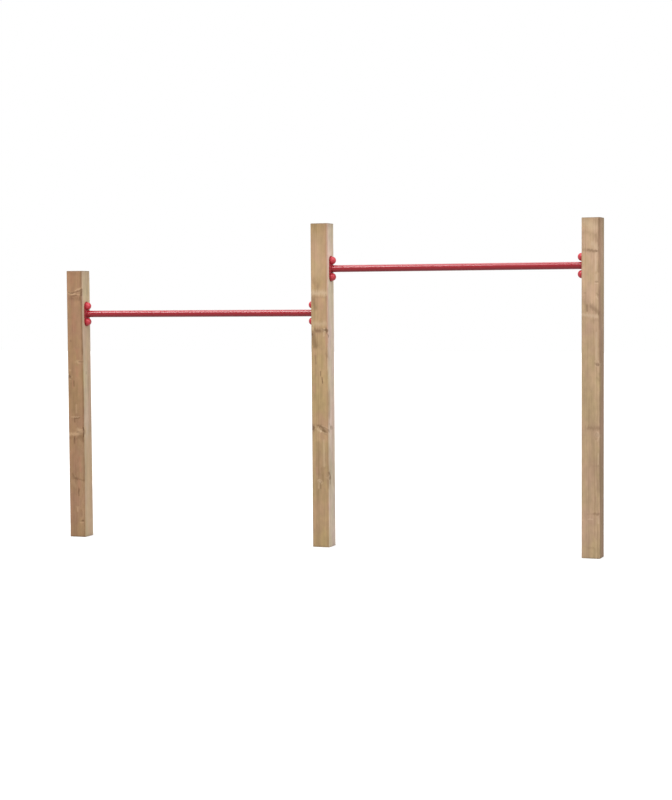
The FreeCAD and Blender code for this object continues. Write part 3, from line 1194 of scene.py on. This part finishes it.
def ring_round(axis_z, profile, steps):
    """Spins a profile of (x, radius) points round a bar's axis, which runs along X."""
    shape = bmesh.new()
    points = [shape.verts.new((x, 0.0, axis_z + radius)) for x, radius in profile]
    edges = [shape.edges.new(pair) for pair in zip(points, points[1:] + points[:1])]
    bmesh.ops.spin(
        shape,
        geom=points + edges,
        cent=(0.0, 0.0, axis_z),
        axis=(1.0, 0.0, 0.0),
        angle=math.tau,
        steps=steps,
        use_merge=True,
    )
    bmesh.ops.recalc_face_normals(shape, faces=shape.faces)
    return shape


def bar_axis(bar):
    """Height of a bar's axis, its radius, and where its tube starts and ends."""
    low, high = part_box(f"{bar}_tube")
    return (low.z + high.z) / 2, (high.z - low.z) / 2, low.x, high.x


for bar in BARS:
    axis, radius, start, end = bar_axis(bar)
    wall = [(start, radius), (end, radius), (end, radius - WALL), (start, radius - WALL)]
    tube = new_piece(f"{bar}_steel", ring_round(axis, wall, TUBE_STEPS), coat.material)
    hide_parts(f"{bar}_tube")
    print(tube.name, len(tube.data.polygons), "faces")

# %% [markdown]
# A fillet weld joins each end of a tube to its flange. The same spin makes the bead's round, slightly
# crowned body. A welder lays it in overlapping drops, so the surface is then raised and lowered in
# crescents along its run, and the bead grows and shrinks a little with the welder's hand. A bump
# would do for the face, but not for the bead's outline, which the coat's gloss makes plain.

# %% Lay the weld beads
BEAD_POINTS = 7
WELD_DROPS, STEPS_PER_DROP = 60, 6
CROWN, RIPPLE, WOBBLE = 0.45 * MM, 0.16 * MM, 0.5 * MM
CRESCENT = 2.4  # how far the middle of a drop runs ahead of its rims, in radians
HAND_WAVES = 2.5  # how fast the hand's wobble changes round the tube


def bead_profile(radius, toe, foot, top):
    """The bead's cross-section from the flange at x = foot, with radius toe, to the tube at x = top."""
    outward = math.copysign(1, top - foot)
    profile = [(foot, radius), (foot, toe)]
    for step in range(1, BEAD_POINTS):
        share = step / BEAD_POINTS
        crown = CROWN * math.sin(math.pi * share)
        profile.append((foot + (top - foot) * share + outward * crown, toe + (radius - toe) * share + crown))
    return profile + [(top, radius)]


def weld_bead(axis, radius, toe, foot, top):
    """A fillet round the tube, rippled by its drops."""
    outward = Vector((math.copysign(1, top - foot), 0, 0))
    bead_place = Vector((foot * 3, 0, 0))  # no two beads read the same noise
    shape = ring_round(axis, bead_profile(radius, toe, foot, top), WELD_DROPS * STEPS_PER_DROP)
    for vert in shape.verts:
        arm = Vector((0.0, vert.co.y, vert.co.z - axis))
        share = min(1.0, max(0.0, (vert.co.x - foot) / (top - foot)))
        middle = math.sin(math.pi * share)
        drop = math.cos(math.atan2(arm.y, arm.z) * WELD_DROPS + CRESCENT * middle)
        hand = noise.noise(arm.normalized() * HAND_WAVES + bead_place)
        vert.co += (arm.normalized() + outward) * (RIPPLE * drop + WOBBLE * hand) * middle
    return shape


for bar in BARS:
    axis, radius, _, _ = bar_axis(bar)
    for end in ("left", "right"):
        low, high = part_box(f"{bar}_{end}_weld")
        foot, top = (low.x, high.x) if end == "left" else (high.x, low.x)
        shape = weld_bead(axis, radius, (high.z - low.z) / 2, foot, top)
        bead = new_piece(f"{bar}_{end}_bead", shape, coat.material)
        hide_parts(f"{bar}_{end}_weld")
        print(bead.name, len(bead.data.polygons), "faces")

# %% [markdown]
# The flanges keep their CAD shape: an oblong steel plate with rounded edges. They only need the coat,
# so a short helper changes the material of CAD nodes, and the caps and screws use it too.


# %% Coat the flanges
def dress(endings, finish):
    """Gives the CAD nodes whose names end so a finish in place of their own."""
    dressed = [node for name, node in nodes.items() if name.endswith(endings)]
    for node in dressed:
        node.data.materials.clear()
        node.data.materials.append(finish.material)
    print(len(dressed), "pieces in", finish.material.name)


dress("_flange", coat)

# %% [markdown]
# ## Caps and screws
#
# The caps are moulded in a softer, lighter red than the coat. Moulded plastic is never quite even, so
# slow flow marks change its colour and gloss, and a fine grain from the mould breaks the highlight.

# %% Mould the caps
CAP_DARK, CAP_LIGHT = srgb(198, 56, 67), srgb(210, 64, 76)
MOULD_GRAIN = 0.03  # depth in millimetres

plastic = Finish("red_cap_plastic")
where = plastic.place()
flow = plastic.noise(where, (0.03, 0.03, 0.03), detail=3.0)
plastic.set(
    Base_Color=plastic.mix(flow, CAP_DARK, CAP_LIGHT),
    Roughness=plastic.ramp(flow, 0.3, 0.7, 0.26, 0.34),
    Normal=plastic.bump(plastic.noise(where, (1.6, 1.6, 1.6)), MOULD_GRAIN),
)
dress(("_cap", "_cap_base"), plastic)

# %% [markdown]
# Under each cap sit a lag screw and a washer, plated with zinc. Plating has a cloudy spangle, and one
# noise gives it both ways: as a change from grey to paler grey and as a change of gloss.

# %% Plate the screws
ZINC_DARK, ZINC_LIGHT = srgb(176, 178, 180), srgb(204, 206, 206)

zinc = Finish("zinc_plate")
spangle = zinc.noise(zinc.place(), (0.3, 0.3, 0.3), detail=3.0)
zinc.set(
    Base_Color=zinc.mix(spangle, ZINC_DARK, ZINC_LIGHT),
    Metallic=1.0,
    Roughness=zinc.ramp(spangle, 0.3, 0.7, 0.28, 0.45),
)
dress(("_screw", "_washer"), zinc)
